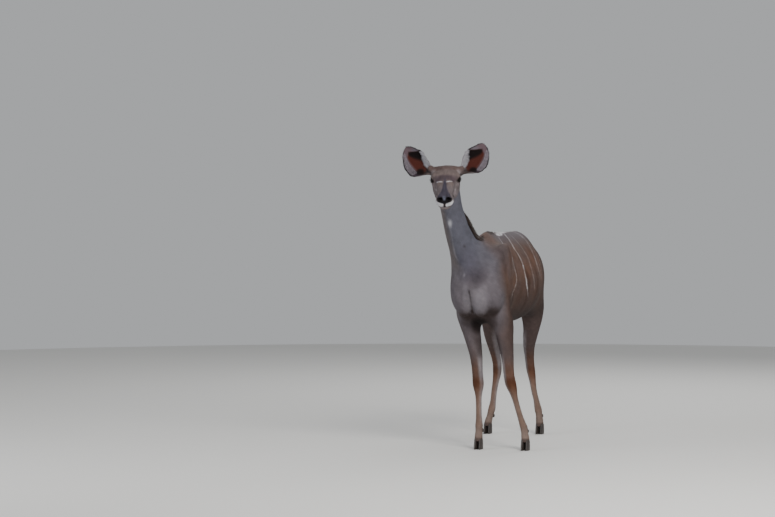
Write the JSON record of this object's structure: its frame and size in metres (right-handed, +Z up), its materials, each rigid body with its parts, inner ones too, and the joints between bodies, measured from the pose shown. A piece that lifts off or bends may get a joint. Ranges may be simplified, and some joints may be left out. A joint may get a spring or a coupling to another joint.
{
  "type": "greater kudu",
  "caption": "Adult female greater kudu standing with its head turned to the left and both ears raised, life size and still, like a museum model.",
  "frame": {"origin": "middle of the bounding box's footprint, on the floor", "axes": "+X towards the animal's left side, -Y towards its front, +Z up"},
  "size_m": [0.6836, 1.7642, 1.7485],
  "materials": {
    "coat": "short grey-brown hair lying along the body, thin white stripes down each side",
    "neck_coat": "short grey hair, darker mane along the nape, dark muzzle with white lips",
    "leg_coat": "very short tawny hair, paler inside the legs, rust-brown at the knees",
    "ear_skin": "thin skin with short hair, bare and reddish inside the cup",
    "eye_wet": "dark, wet and glossy",
    "horn": "dark horn of the hooves and dewclaws, semi-matte"
  },
  "bodies": {
    "root": {"head": "neck_coat", "neck": "neck_coat", "torso": "coat", "tail": "coat", "ear_left": "ear_skin", "ear_right": "ear_skin", "eye_left": "eye_wet", "eye_right": "eye_wet", "foreleg_left": "leg_coat", "hoof_foreleg_left_inner": "horn", "dewclaw_foreleg_left_inner": "horn", "hoof_foreleg_left_outer": "horn", "dewclaw_foreleg_left_outer": "horn", "foreleg_right": "leg_coat", "hoof_foreleg_right_inner": "horn", "dewclaw_foreleg_right_inner": "horn", "hoof_foreleg_right_outer": "horn", "dewclaw_foreleg_right_outer": "horn", "hindleg_left": "leg_coat", "hoof_hindleg_left_inner": "horn", "dewclaw_hindleg_left_inner": "horn", "hoof_hindleg_left_outer": "horn", "dewclaw_hindleg_left_outer": "horn", "hindleg_right": "leg_coat", "hoof_hindleg_right_inner": "horn", "dewclaw_hindleg_right_inner": "horn", "hoof_hindleg_right_outer": "horn", "dewclaw_hindleg_right_outer": "horn"}
  },
  "joints": []
}
